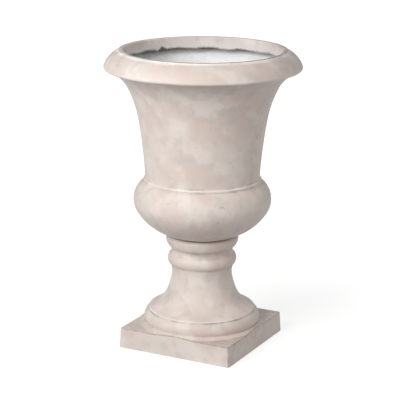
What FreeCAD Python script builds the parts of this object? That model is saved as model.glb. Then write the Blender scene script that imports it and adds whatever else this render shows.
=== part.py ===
import FreeCAD, Part

import math
import os
import re
from collections import namedtuple

import Sketcher

# Footed garden urn: a hollow bowl bolted through its floor to a hollow pedestal on a square plinth.
# Both are a stone-look shell with a glass-fibre laminate laid up inside it.
#
# Millimetres. The origin is the middle of the plinth's underside, +Z is up, and the plinth's sides lie
# along X and Y. Turned pieces are drawn as one closed outline in the XZ plane and revolved round Z.
#
# The outline is made of members, one above the other. A member's reach is how far it goes in or out
# between its two ends, its height how far it rises, and its bow how far its arc stands off the straight
# line between the ends.

SIZES = [
    # square plinth with a low round apron on top
    ("plinth_ledge", 11.5, "foot of the half-round ring to the plinth's side on the ground"),
    ("plinth_height", 52.0, "ground to the top of the plinth's corners"),
    ("plinth_draft", 2.8, "lean of the sides, in degrees"),
    ("plinth_corner", 6.0, "rounding of the upright corners"),
    ("apron_reach", 15.5, "foot of the ring to the apron's round edge"),
    ("apron_fall", 5.0, "fall of the apron from the ring to that edge"),
    ("apron_step", 1.0, "height of the edge"),
    # pedestal, from the plinth up
    ("ring_reach", 9.0, "half-round ring: how much narrower at its top"),
    ("ring_height", 31.0, "half-round ring"),
    ("ring_bow", 6.96, "half-round ring"),
    ("foot_edge_reach", 2.0, "thin edge of the foot: how much narrower at its top"),
    ("foot_edge_height", 5.5, "thin edge of the foot"),
    ("foot_edge_bow", 1.27, "thin edge of the foot"),
    ("flare_reach", 48.0, "flare of the foot: how much narrower at its top"),
    ("flare_height", 48.8, "flare of the foot"),
    ("flare_bow", 7.61, "flare of the foot, hollow"),
    ("waist_reach", 9.1, "straighter part over the flare: how much narrower at its top"),
    ("waist_height", 32.4, "straighter part over the flare"),
    ("waist_bow", 0.49, "straighter part over the flare, hollow"),
    ("stem_reach", 2.6, "stem: how much wider at its top"),
    ("stem_height", 34.3, "stem"),
    ("stem_bow", 2.55, "stem, hollow"),
    ("neck_bead_reach", 3.0, "lower of the two beads: how much wider at its top"),
    ("neck_bead_height", 28.5, "lower of the two beads"),
    ("neck_bead_bow", 6.23, "lower of the two beads"),
    ("groove_reach", 1.5, "groove between the beads: how much wider at its top"),
    ("groove_height", 22.0, "groove between the beads"),
    ("groove_bow", 6.11, "groove between the beads, hollow"),
    ("cap_swell_reach", 7.5, "upper bead to its widest part: how much wider"),
    ("cap_swell_height", 17.0, "upper bead to its widest part"),
    ("cap_swell_bow", 1.4, "upper bead to its widest part"),
    ("cap_shoulder_reach", 7.0, "upper bead from there to the crown: how much narrower"),
    ("cap_shoulder_height", 11.5, "upper bead from there to the crown"),
    ("cap_shoulder_bow", 3.03, "upper bead from there to the crown"),
    ("crown_radius", 87.0, "flat crown that carries the bowl"),
    ("crown_wall", 12.0, "thickness of the crown"),
    ("bore_step", 2.4, "the bore behind the beads is this much narrower than at the waist"),
    # bowl, from its seat up
    ("seat_inset", 3.0, "edge of the crown to the edge of the bowl's flat underside"),
    ("base_reach", 4.0, "sloping edge under the bulge"),
    ("base_height", 1.5, "sloping edge under the bulge"),
    ("bulge_low_reach", 81.3, "lower sweep of the bulge: how much wider at its top"),
    ("bulge_low_height", 62.4, "lower sweep of the bulge"),
    ("bulge_low_bow", 9.65, "lower sweep of the bulge"),
    ("bulge_reach", 11.7, "full part of the bulge: how much narrower at its top"),
    ("bulge_height", 73.5, "full part of the bulge"),
    ("bulge_bow", 13.6, "full part of the bulge"),
    ("shoulder_reach", 7.1, "shoulder over the bulge: how much narrower at its top"),
    ("shoulder_height", 3.4, "shoulder over the bulge"),
    ("shoulder_bow", 0.52, "shoulder over the bulge"),
    ("bell_bead_reach", 3.3, "small bead at the bell's foot: how much narrower at its top"),
    ("bell_bead_height", 9.5, "small bead at the bell's foot"),
    ("bell_bead_bow", 3.3, "small bead at the bell's foot"),
    ("bell_low_reach", 18.5, "nearly straight part of the bell: how much wider at its top"),
    ("bell_low_height", 157.0, "nearly straight part of the bell"),
    ("bell_low_bow", 2.34, "nearly straight part of the bell, hollow"),
    ("bell_high_reach", 26.8, "opening part of the bell: how much wider at its top"),
    ("bell_high_height", 78.4, "opening part of the bell"),
    ("bell_high_bow", 3.06, "opening part of the bell, hollow"),
    ("rim_flare_reach", 52.7, "flare under the rim: how much wider at its top"),
    ("rim_flare_height", 45.1, "flare under the rim"),
    ("rim_flare_bow", 6.94, "flare under the rim, hollow"),
    ("rim_roll_reach", 5.8, "drooping edge of the rim: how much wider at its top"),
    ("rim_roll_height", 8.8, "drooping edge of the rim"),
    ("rim_roll_bow", 2.7, "drooping edge of the rim"),
    ("rim_reach", 35.3, "rim: how much narrower at its top"),
    ("rim_height", 37.3, "rim"),
    ("rim_bow", 5.13, "rim"),
    ("lip_reach", 3.7, "outer edge of the lip: how much narrower at its top"),
    ("lip_height", 2.6, "outer edge of the lip"),
    ("lip_bow", 0.7, "outer edge of the lip"),
    ("lip_flat", 8.0, "width of the lip's flat top"),
    ("mouth_round", 3.0, "radius of the mouth's edge"),
    ("collar_depth", 30.0, "lip to the lower edge of the upright collar inside the mouth"),
    ("collar_wall", 8.0, "thickness of the collar at its lower edge"),
    # walls
    ("shell_wall", 9.0, "stone-look shell: measured level on steep walls, upright on flat ones"),
    ("floor_wall", 12.0, "thickness of the bowl's floor"),
    ("floor_inset", 4.0, "edge of the seat to the edge of the flat floor inside"),
    ("throat_round", 18.0, "inside bend where the bell opens into the bulge, to the outer face"),
    ("lining_wall", 3.0, "glass-fibre laminate"),
    ("bond_gap", 0.3, "bond line between shell and laminate"),
    ("lining_setback", 4.0, "ground to the laminate's lower edge"),
    # bedding and bolt
    ("gasket_wall", 1.5, "thickness of the bedding between bowl and crown"),
    ("gasket_setback", 3.0, "edge of the seat to the edge of the bedding"),
    ("bolt_diameter", 12.0, "shank of the bolt"),
    ("bolt_clearance", 1.0, "shank to the hole through floor and crown, on the radius"),
    ("bolt_tail", 8.0, "length of shank that stands out of the nut"),
    ("thread_clearance", 0.1, "shank to nut or washer, on the radius"),
    ("head_flats", 18.0, "width across the flats of head and nut"),
    ("head_height", 7.5, "bolt's head"),
    ("nut_height", 10.8, "nut"),
    ("washer_diameter", 40.0, "both steel washers"),
    ("washer_wall", 3.0, "thickness of a steel washer"),
    ("seal_margin", 2.0, "how far the rubber washer stands out round the steel one"),
    ("seal_wall", 3.0, "thickness of the rubber washer"),
    # drain
    ("drain_hole", 20.0, "diameter of the hole in the bowl's floor"),
    ("drain_spacing", 5.0, "edge of the rubber washer to the edge of the plug's flange"),
    ("drain_way_margin", 3.0, "hole to the wider way through bedding and crown, on the radius"),
    ("plug_clearance", 0.08, "plug to hole, on the radius"),
    ("plug_seat_gap", 0.1, "plug's flange to the floor"),
    ("plug_reach", 20.0, "length of the plug under its flange"),
    ("plug_lead", 3.0, "height of the tapered tip"),
    ("plug_taper", 2.0, "how much the tip narrows, on the radius"),
    ("plug_lip", 6.0, "how far the flange stands out beyond the hole"),
    ("plug_flange_wall", 3.0, "thickness of the flange"),
    ("plug_flange_round", 1.5, "rounding of the flange's upper edge"),
    ("plug_neck", 8.0, "diameter of the grip's neck"),
    ("plug_neck_height", 4.0, "neck"),
    ("plug_grip_swell", 2.5, "how far the grip stands out beyond its neck"),
    ("plug_grip_height", 6.0, "grip"),
]

# Measures worked out from the sizes. The radii run down the pedestal and up the bowl from the crown.
DERIVED = {
    "cap_radius": "crown_radius + cap_shoulder_reach",
    "cap_foot_radius": "cap_radius - cap_swell_reach",
    "groove_radius": "cap_foot_radius - groove_reach",
    "stem_radius": "groove_radius - neck_bead_reach",
    "waist_radius": "stem_radius - stem_reach",
    "flare_radius": "waist_radius + waist_reach",
    "foot_radius": "flare_radius + flare_reach",
    "ring_neck_radius": "foot_radius + foot_edge_reach",
    "ring_foot_radius": "ring_neck_radius + ring_reach",
    "apron_radius": "ring_foot_radius + apron_reach",
    "plinth_half": "ring_foot_radius + plinth_ledge",
    "seat_radius": "crown_radius - seat_inset",
    "base_radius": "seat_radius + base_reach",
    "bulge_low_radius": "base_radius + bulge_low_reach",
    "bulge_high_radius": "bulge_low_radius - bulge_reach",
    "shoulder_radius": "bulge_high_radius - shoulder_reach",
    "bell_foot_radius": "shoulder_radius - bell_bead_reach",
    "bell_mid_radius": "bell_foot_radius + bell_low_reach",
    "bell_high_radius": "bell_mid_radius + bell_high_reach",
    "rim_under_radius": "bell_high_radius + rim_flare_reach",
    "rim_radius": "rim_under_radius + rim_roll_reach",
    "rim_top_radius": "rim_radius - rim_reach",
    "lip_radius": "rim_top_radius - lip_reach",
    "mouth_radius": "lip_radius - lip_flat - mouth_round",
    "collar_back": "mouth_radius + collar_wall",
    # heights above the ground
    "ring_foot": "plinth_height + apron_step + apron_fall",
    "ring_neck": "ring_foot + ring_height",
    "foot_top": "ring_neck + foot_edge_height",
    "flare_top": "foot_top + flare_height",
    "waist_top": "flare_top + waist_height",
    "stem_top": "waist_top + stem_height",
    "neck_bead_top": "stem_top + neck_bead_height",
    "groove_top": "neck_bead_top + groove_height",
    "cap_widest": "groove_top + cap_swell_height",
    "crown": "cap_widest + cap_shoulder_height",
    "seat": "crown + gasket_wall",
    "floor": "seat + floor_wall + bond_gap + lining_wall",
    "head_foot": "floor + seal_wall + washer_wall",
    "vault": "crown - crown_wall - bond_gap - lining_wall",
    "nut_top": "vault - washer_wall",
    "nut_foot": "nut_top - nut_height",
    # heights above the bowl's seat
    "bulge_low_top": "base_height + bulge_low_height",
    "bulge_top": "bulge_low_top + bulge_height",
    "shoulder_top": "bulge_top + shoulder_height",
    "bell_foot": "shoulder_top + bell_bead_height",
    "bell_mid": "bell_foot + bell_low_height",
    "bell_top": "bell_mid + bell_high_height",
    "rim_under": "bell_top + rim_flare_height",
    "rim_widest": "rim_under + rim_roll_height",
    "rim_top": "rim_widest + rim_height",
    "lip_top": "rim_top + lip_height",
    "collar_foot": "lip_top - collar_depth",
    # bolt and drain
    "bolt_hole": "bolt_diameter + 2 * bolt_clearance",
    "thread_bore": "bolt_diameter + 2 * thread_clearance",
    "seal_diameter": "washer_diameter + 2 * seal_margin",
    "plug_flange": "drain_hole + 2 * plug_lip",
    "plug_body": "drain_hole - 2 * plug_clearance",
    "drain_offset": "seal_diameter / 2 + drain_spacing + plug_flange / 2",
    "drain_way": "drain_hole + 2 * drain_way_margin",
}

# Walls are set in from the outer face by one of these.
SHELL = "shell_wall"
LINING_OUTSIDE = "(shell_wall + bond_gap)"
LINING_INSIDE = "(shell_wall + bond_gap + lining_wall)"

# An outline is a list of corners with, between two of them, an arc or nothing for a straight line.
# It runs anticlockwise: a Swell stands out of the material and a Hollow goes into it.
Corner = namedtuple("Corner", "radius height")
Swell = namedtuple("Swell", "round")
Hollow = namedtuple("Hollow", "round")
AXIS = None
BASE = None

ADD_TURNED = "PartDesign::Revolution"
CUT_TURNED = "PartDesign::Groove"
ADD_BLOCK = "PartDesign::Pad"
CUT_BLOCK = "PartDesign::Pocket"

SIZE_NAMES = {name for name, value, meaning in SIZES}


def make_sheet(document):
    """The table of sizes: name, value and meaning in each row, the value's cell named after it."""
    table = document.addObject("Spreadsheet::Sheet", "Sizes")
    for row, (name, value, meaning) in enumerate(SIZES, start=1):
        table.set(f"A{row}", name)
        table.set(f"B{row}", str(value))
        table.set(f"C{row}", meaning)
        table.setAlias(f"B{row}", name)
    document.recompute()
    return table


document = FreeCAD.newDocument("urn")
sheet = make_sheet(document)


def bound(text):
    """The expression with derived measures written out and each size read from its cell."""

    def replace(match):
        word = match.group(0)
        if word in DERIVED:
            return "(" + bound(DERIVED[word]) + ")"
        return "Sizes." + word if word in SIZE_NAMES else word

    return re.sub(r"[a-z_]+", replace, text)


def amount(text):
    """The number that an expression stands for."""
    return float(sheet.evalExpression(bound(text)))


def arc_of(member, set_in=""):
    """Radius of a member's arc, from its half chord and its bow, with a wall added or taken off."""
    chord = f"({member}_reach * {member}_reach + {member}_height * {member}_height)"
    return f"{chord} / (8 * {member}_bow) + {member}_bow / 2 {set_in}"


def backwards(run):
    """The same run of corners and arcs walked the other way, with the material on its other side."""
    turned = {Swell: Hollow, Hollow: Swell}
    return [item if isinstance(item, Corner) else turned[type(item)](item.round) for item in reversed(run)]


def new_body(name):
    body = document.addObject("PartDesign::Body", name)
    body.Label = name
    return body


def volume_of(body):
    document.recompute()
    return body.Shape.Volume if body.Tip else 0.0


def expect_cut(body, name, before):
    """A cut that points the wrong way removes nothing, so the volume must have gone down."""
    if volume_of(body) > before - 1.0:
        raise RuntimeError(f"{name} takes nothing away from {body.Name}")


def new_sketch(body, name, role, lift=None):
    """A sketch on one of the body's own planes, lifted off it where lift says how far."""
    sketch = body.newObject("Sketcher::SketchObject", f"{body.Name}_{name}")
    plane = next(feature for feature in body.Origin.OriginFeatures if feature.Role == role)
    sketch.AttachmentSupport = [(plane, "")]
    sketch.MapMode = "FlatFace"
    if lift:
        sketch.setExpression("AttachmentOffset.Base.z", bound(lift))
    return sketch


def dimension(sketch, name, kind, *parts, text):
    """A named constraint whose value is bound to the sizes."""
    index = sketch.addConstraint(Sketcher.Constraint(kind, *parts, amount(text)))
    sketch.renameConstraint(index, name)
    sketch.setExpression(f"Constraints.{name}", bound(text))


def pin(sketch, name, edge, end, corner):
    """Ties one end of an edge to its radius and height, or to the sketch's own axes."""
    if corner.radius is AXIS:
        sketch.addConstraint(Sketcher.Constraint("PointOnObject", edge, end, -2))
    else:
        dimension(sketch, f"{name}_radius", "DistanceX", -1, 1, edge, end, text=corner.radius)
    if corner.height is BASE:
        sketch.addConstraint(Sketcher.Constraint("PointOnObject", edge, end, -1))
    else:
        dimension(sketch, f"{name}_height", "DistanceY", -1, 1, edge, end, text=corner.height)


def place_of(corner):
    radius = 0.0 if corner.radius is AXIS else amount(corner.radius)
    height = 0.0 if corner.height is BASE else amount(corner.height)
    return FreeCAD.Vector(radius, height, 0)


def arc_between(start, end, radius, leftward):
    """The short arc from start to end whose centre lies to the left or right of the way walked."""
    chord = end - start
    left = FreeCAD.Vector(-chord.y, chord.x, 0).normalize()
    reach = math.sqrt(radius**2 - (chord.Length / 2) ** 2)
    centre = (start + end) * 0.5 + left * (reach if leftward else -reach)
    first, last = (start, end) if leftward else (end, start)
    angles = [math.atan2(point.y - centre.y, point.x - centre.x) for point in (first, last)]
    return Part.ArcOfCircle(Part.Circle(centre, FreeCAD.Vector(0, 0, 1), radius), *angles)


def draw(sketch, outline):
    """Draws a closed outline, each corner pinned to its sizes and each arc held to its radius."""
    corners = [index for index, item in enumerate(outline) if isinstance(item, Corner)]
    edges = []
    for number, index in enumerate(corners):
        here = place_of(outline[index])
        there = place_of(outline[corners[(number + 1) % len(corners)]])
        curve = outline[(index + 1) % len(outline)]
        if isinstance(curve, Corner):
            edge = sketch.addGeometry(Part.LineSegment(here, there))
            edges.append((edge, 1, 2))
        else:
            leftward = isinstance(curve, Swell)
            edge = sketch.addGeometry(arc_between(here, there, amount(curve.round), leftward))
            edges.append((edge, 1, 2) if leftward else (edge, 2, 1))
            dimension(sketch, f"round_{number}", "Radius", edge, text=curve.round)
    for number, (edge, start, end) in enumerate(edges):
        next_edge, next_start, _ = edges[(number + 1) % len(edges)]
        sketch.addConstraint(Sketcher.Constraint("Coincident", edge, end, next_edge, next_start))
        pin(sketch, f"corner_{number}", edge, start, outline[corners[number]])


def revolve(body, name, outline, kind=ADD_TURNED):
    """One turn of an outline round the body's Z axis, added or cut away."""
    before = volume_of(body)
    sketch = new_sketch(body, f"{name}_outline", "XZ_Plane")
    draw(sketch, outline)
    feature = body.newObject(kind, f"{body.Name}_{name}")
    feature.Profile = sketch
    feature.ReferenceAxis = (sketch, ["V_Axis"])
    feature.Angle = 360
    if kind == CUT_TURNED:
        expect_cut(body, name, before)


def add_circle(sketch, name, diameter, offset=None):
    """A circle on the sketch's origin, or at an offset along X."""
    centre = FreeCAD.Vector(amount(offset) if offset else 0, 0, 0)
    circle = sketch.addGeometry(Part.Circle(centre, FreeCAD.Vector(0, 0, 1), amount(diameter) / 2))
    dimension(sketch, f"{name}_width", "Diameter", circle, text=diameter)
    if offset:
        dimension(sketch, f"{name}_offset", "DistanceX", -1, 1, circle, 3, text=offset)
        sketch.addConstraint(Sketcher.Constraint("PointOnObject", circle, 3, -1))
    else:
        sketch.addConstraint(Sketcher.Constraint("Coincident", circle, 3, -1, 1))


def drill(body, name, diameter, offset=None):
    """A round hole upright through the whole body."""
    before = volume_of(body)
    sketch = new_sketch(body, f"{name}_circle", "XY_Plane")
    add_circle(sketch, name, diameter, offset)
    hole = body.newObject(CUT_BLOCK, f"{body.Name}_{name}")
    hole.Profile = sketch
    hole.Type = "ThroughAll"
    hole.SideType = "Symmetric"
    expect_cut(body, name, before)


def draw_square(sketch, half):
    """A square round the origin, held by half a side each way."""
    size = amount(half)
    points = [FreeCAD.Vector(x * size, y * size, 0) for x, y in ((-1, -1), (1, -1), (1, 1), (-1, 1))]
    sides = [sketch.addGeometry(Part.LineSegment(points[k], points[(k + 1) % 4])) for k in range(4)]
    for k in range(4):
        sketch.addConstraint(Sketcher.Constraint("Coincident", sides[k], 2, sides[(k + 1) % 4], 1))
        sketch.addConstraint(Sketcher.Constraint("Vertical" if k % 2 else "Horizontal", sides[k]))
    sketch.addConstraint(Sketcher.Constraint("Symmetric", sides[0], 1, sides[2], 1, -1, 1))
    dimension(sketch, "half_width", "DistanceX", -1, 1, sides[1], 1, text=half)
    dimension(sketch, "half_depth", "DistanceY", -1, 1, sides[2], 1, text=half)


def square_block(body, name, wall, top, kind, lift=None):
    """A square block up to a level, in from the plinth's side by a wall, added or cut away."""
    before = volume_of(body)
    start = lift or "0"
    sketch = new_sketch(body, f"{name}_square", "XY_Plane", lift)
    draw_square(sketch, f"plinth_half - {wall} - {start} * tan(plinth_draft)")
    block = body.newObject(kind, f"{body.Name}_{name}")
    block.Profile = sketch
    block.setExpression("Length", bound(f"{top} - {start}"))
    block.setExpression("TaperAngle", bound("-plinth_draft"))
    if kind == CUT_BLOCK:
        block.Reversed = True
        expect_cut(body, name, before)
    return block


def bowl_outside():
    """From the seat's edge up the bulge, the bell and the rolled rim, over the lip to the collar."""
    return [
        Corner("seat_radius", BASE),
        Corner("base_radius", "base_height"),
        Swell(arc_of("bulge_low")),
        Corner("bulge_low_radius", "bulge_low_top"),
        Swell(arc_of("bulge")),
        Corner("bulge_high_radius", "bulge_top"),
        Swell(arc_of("shoulder")),
        Corner("shoulder_radius", "shoulder_top"),
        Swell(arc_of("bell_bead")),
        Corner("bell_foot_radius", "bell_foot"),
        Hollow(arc_of("bell_low")),
        Corner("bell_mid_radius", "bell_mid"),
        Hollow(arc_of("bell_high")),
        Corner("bell_high_radius", "bell_top"),
        Hollow(arc_of("rim_flare")),
        Corner("rim_under_radius", "rim_under"),
        Swell(arc_of("rim_roll")),
        Corner("rim_radius", "rim_widest"),
        Swell(arc_of("rim")),
        Corner("rim_top_radius", "rim_top"),
        Swell(arc_of("lip")),
        Corner("lip_radius", "lip_top"),
        Corner("mouth_radius + mouth_round", "lip_top"),
        Swell("mouth_round"),
        Corner("mouth_radius", "lip_top - mouth_round"),
        Corner("mouth_radius", "collar_foot"),
    ]


def rim_hollow():
    """Round the collar's lower edge, up behind it and out under the rim to the hollow's far corner."""
    return [
        Corner("collar_back", "collar_foot"),
        Corner(f"rim_top_radius - {SHELL} / 2", f"rim_top - {SHELL}"),
        Hollow(arc_of("rim", f"- {SHELL}")),
    ]


def bowl_inside(wall):
    """From the rim hollow's far corner down the bell and the bulge to the middle of the floor."""
    floor = f"floor_wall + {wall} - {SHELL}"
    return [
        Corner(f"rim_radius - {wall}", f"rim_under + {wall}"),
        Swell(arc_of("rim_flare", f"+ {wall}")),
        Corner(f"bell_high_radius - {wall}", "bell_top"),
        Swell(arc_of("bell_high", f"+ {wall}")),
        Corner(f"bell_mid_radius - {wall}", "bell_mid"),
        Swell(arc_of("bell_low", f"+ {wall}")),
        Corner(f"bell_foot_radius - {wall}", "bell_foot"),
        Swell(f"throat_round + {wall}"),
        Corner(f"bulge_high_radius - {wall}", f"bulge_top - {wall}"),
        Hollow(arc_of("bulge", f"- {wall}")),
        Corner(f"bulge_low_radius - {wall}", "bulge_low_top"),
        Hollow(arc_of("bulge_low", f"- {wall}")),
        Corner("seat_radius - floor_inset", floor),
        Corner(AXIS, floor),
    ]


def pedestal_outside():
    """From the apron up the half-round ring, the foot, the stem and both beads to the crown."""
    return [
        Corner("ring_foot_radius", "ring_foot"),
        Swell(arc_of("ring")),
        Corner("ring_neck_radius", "ring_neck"),
        Swell(arc_of("foot_edge")),
        Corner("foot_radius", "foot_top"),
        Hollow(arc_of("flare")),
        Corner("flare_radius", "flare_top"),
        Hollow(arc_of("waist")),
        Corner("waist_radius", "waist_top"),
        Hollow(arc_of("stem")),
        Corner("stem_radius", "stem_top"),
        Swell(arc_of("neck_bead")),
        Corner("groove_radius", "neck_bead_top"),
        Hollow(arc_of("groove")),
        Corner("cap_foot_radius", "groove_top"),
        Swell(arc_of("cap_swell")),
        Corner("cap_radius", "cap_widest"),
        Swell(arc_of("cap_shoulder")),
        Corner("crown_radius", "crown"),
        Corner(AXIS, "crown"),
    ]


def pedestal_inside(wall, foot):
    """From the vault under the crown down the bore and the foot's inside to the height foot."""
    vault = f"crown - crown_wall - {wall} + {SHELL}"
    bore = f"waist_radius - bore_step - {wall}"
    return [
        Corner(AXIS, vault),
        Corner(bore, vault),
        Corner(bore, "stem_top"),
        Corner(f"waist_radius - {wall}", "waist_top"),
        Swell(arc_of("waist", f"+ {wall}")),
        Corner(f"flare_radius - {wall}", "flare_top"),
        Swell(arc_of("flare", f"+ {wall}")),
        Corner(f"foot_radius - {wall}", f"foot_top - {wall}"),
        Corner(f"ring_foot_radius - {wall}", "ring_foot + ring_height / 2"),
        Corner(f"ring_foot_radius - {wall}", foot),
        Corner(AXIS, foot),
    ]


def make_bowl_shell():
    """Floor, bulge, bell and a rolled rim that is hollow behind the collar in the mouth."""
    body = new_body("bowl_shell")
    revolve(body, "casting", [Corner(AXIS, BASE)] + bowl_outside() + rim_hollow() + bowl_inside(SHELL))
    drill(body, "bolt_way", "bolt_hole")
    drill(body, "drain", "drain_hole", "drain_offset")
    body.setExpression("Placement.Base.z", bound("seat"))
    return body


def make_bowl_lining():
    """Laminate from the floor up to the far corner of the rim's hollow."""
    body = new_body("bowl_lining")
    revolve(body, "laminate", backwards(bowl_inside(LINING_OUTSIDE)) + bowl_inside(LINING_INSIDE))
    drill(body, "bolt_way", "bolt_hole")
    drill(body, "drain", "drain_hole", "drain_offset")
    body.setExpression("Placement.Base.z", bound("seat"))
    return body


def make_pedestal_shell():
    """Square block cut down to the apron, with the turned foot and stem on it, open underneath."""
    body = new_body("pedestal_shell")
    block = square_block(body, "plinth", "0", "ring_foot", ADD_BLOCK)
    document.recompute()
    upright = [
        f"Edge{number}"
        for number, edge in enumerate(block.Shape.Edges, start=1)
        if abs(edge.Vertexes[0].Z - edge.Vertexes[1].Z) > amount("ring_foot") / 2
    ]
    corners = body.newObject("PartDesign::Fillet", "plinth_corners")
    corners.Base = (block, upright)
    corners.setExpression("Radius", bound("plinth_corner"))
    round_the_apron = [
        Corner("ring_foot_radius", "ring_foot"),
        Corner("apron_radius", "plinth_height + apron_step"),
        Corner("apron_radius", "plinth_height"),
        Corner("2 * plinth_half", "plinth_height"),
        Corner("2 * plinth_half", "ring_neck"),
        Corner("ring_foot_radius", "ring_neck"),
    ]
    revolve(body, "apron", round_the_apron, CUT_TURNED)
    revolve(body, "turned", [Corner(AXIS, "ring_foot")] + pedestal_outside())
    hollow_foot = f"plinth_height - {LINING_INSIDE}"
    revolve(body, "bore", backwards(pedestal_inside(SHELL, hollow_foot)), CUT_TURNED)
    square_block(body, "underside", SHELL, f"plinth_height - {SHELL}", CUT_BLOCK)
    drill(body, "bolt_way", "bolt_hole")
    drill(body, "drain", "drain_way", "drain_offset")
    return body


def make_pedestal_lining():
    """Laminate under the crown, down the bore and the plinth's sides. It stays off the ground."""
    body = new_body("pedestal_lining")
    outer_foot = f"plinth_height - {LINING_INSIDE}"
    inner_foot = f"{outer_foot} - lining_wall"
    outer_top = f"plinth_height - {LINING_OUTSIDE}"
    square_block(body, "skirt", LINING_OUTSIDE, outer_top, ADD_BLOCK, "lining_setback")
    revolve(body, "laminate", backwards(pedestal_inside(LINING_OUTSIDE, outer_foot)))
    revolve(body, "bore", backwards(pedestal_inside(LINING_INSIDE, inner_foot)), CUT_TURNED)
    square_block(body, "underside", LINING_INSIDE, outer_foot, CUT_BLOCK, "lining_setback")
    drill(body, "bolt_way", "bolt_hole")
    drill(body, "drain", "drain_way", "drain_offset")
    return body


def make_disc(name, diameter, bore, wall, level, drain=None):
    """A flat ring, such as a washer, whose underside lies at a level."""
    body = new_body(name)
    sketch = new_sketch(body, "ring", "XY_Plane")
    add_circle(sketch, "outside", diameter)
    add_circle(sketch, "bore", bore)
    if drain:
        add_circle(sketch, "drain", drain, "drain_offset")
    disc = body.newObject(ADD_BLOCK, f"{name}_pad")
    disc.Profile = sketch
    disc.setExpression("Length", bound(wall))
    body.setExpression("Placement.Base.z", bound(level))
    return body


def hexagon(name, height, level):
    """A hexagonal prism of the head's width across flats, standing on a level."""
    prism = document.addObject("Part::Prism", name)
    prism.Polygon = 6
    prism.setExpression("Circumradius", bound("head_flats / 2 / cos(30)"))
    prism.setExpression("Height", bound(height))
    prism.setExpression("Placement.Base.z", bound(level))
    return prism


def rod(name, radius, height, level):
    cylinder = document.addObject("Part::Cylinder", name)
    cylinder.setExpression("Radius", bound(radius))
    cylinder.setExpression("Height", bound(height))
    cylinder.setExpression("Placement.Base.z", bound(level))
    return cylinder


def make_tie_bolt():
    """Hexagon head on the upper washer, and the shank down through floor, bedding, crown and nut."""
    shank_foot = "nut_foot - bolt_tail"
    bolt = document.addObject("Part::Fuse", "tie_bolt")
    bolt.Label = "tie_bolt"
    bolt.Base = hexagon("bolt_head", "head_height", "head_foot")
    bolt.Tool = rod("bolt_shank", "bolt_diameter / 2", f"head_foot - ({shank_foot})", shank_foot)
    return bolt


def make_tie_nut():
    """Hexagon nut under the lower washer, with a plain bore round the shank."""
    nut = document.addObject("Part::Cut", "tie_nut")
    nut.Label = "tie_nut"
    nut.Base = hexagon("nut_block", "nut_height", "nut_foot")
    nut.Tool = rod("nut_bore", "thread_bore / 2", "nut_height", "nut_foot")
    return nut


def make_drain_plug():
    """Rubber bung: tapered tip, round body, flange on the floor and a grip to pull it by."""
    body = new_body("drain_plug")
    flange_top = "plug_reach + plug_flange_wall"
    neck_top = f"{flange_top} + plug_neck_height"
    grip = "plug_neck / 2 + plug_grip_swell"
    profile = [
        Corner(AXIS, BASE),
        Corner("plug_body / 2 - plug_taper", BASE),
        Corner("plug_body / 2", "plug_lead"),
        Corner("plug_body / 2", "plug_reach"),
        Corner("plug_flange / 2", "plug_reach"),
        Corner("plug_flange / 2", f"{flange_top} - plug_flange_round"),
        Swell("plug_flange_round"),
        Corner("plug_flange / 2 - plug_flange_round", flange_top),
        Corner("plug_neck / 2", flange_top),
        Corner("plug_neck / 2", neck_top),
        Corner(grip, f"{neck_top} + plug_grip_height / 3"),
        Corner(grip, f"{neck_top} + plug_grip_height * 2 / 3"),
        Corner("plug_neck / 2", f"{neck_top} + plug_grip_height"),
        Corner(AXIS, f"{neck_top} + plug_grip_height"),
    ]
    revolve(body, "moulding", profile)
    body.setExpression("Placement.Base.x", bound("drain_offset"))
    body.setExpression("Placement.Base.z", bound("floor + plug_seat_gap - plug_reach"))
    return body


def make_pieces():
    """Every separate piece, the two castings first."""
    gasket_diameter = "2 * (seat_radius - gasket_setback)"
    return [
        make_bowl_shell(),
        make_bowl_lining(),
        make_pedestal_shell(),
        make_pedestal_lining(),
        make_disc("seat_gasket", gasket_diameter, "bolt_hole", "gasket_wall", "crown", "drain_way"),
        make_disc("seal_washer", "seal_diameter", "thread_bore", "seal_wall", "floor"),
        make_disc("bolt_washer", "washer_diameter", "thread_bore", "washer_wall", "floor + seal_wall"),
        make_disc("crown_washer", "washer_diameter", "thread_bore", "washer_wall", "nut_top"),
        make_tie_bolt(),
        make_tie_nut(),
        make_drain_plug(),
    ]


def check(pieces):
    """Every object has worked out, and every piece is one sound solid."""
    for item in document.Objects:
        if {"Invalid", "Error"} & set(item.State):
            raise RuntimeError(f"{item.Name} failed: {item.State}")
    for piece in pieces:
        shape = piece.Shape
        if shape.isNull() or not shape.isValid() or len(shape.Solids) != 1:
            raise RuntimeError(f"{piece.Label} is not one sound solid")


def main():
    pieces = make_pieces()
    document.recompute()
    check(pieces)
    os.makedirs("parts", exist_ok=True)
    for piece in pieces:
        piece.Shape.exportStep(f"parts/{piece.Label}.step")
        print(f"{piece.Label}: {piece.Shape.Volume / 1000:.1f} cm3")


main()
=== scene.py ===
import math

import bpy
import numpy as np
from mathutils import Matrix, Vector


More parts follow.
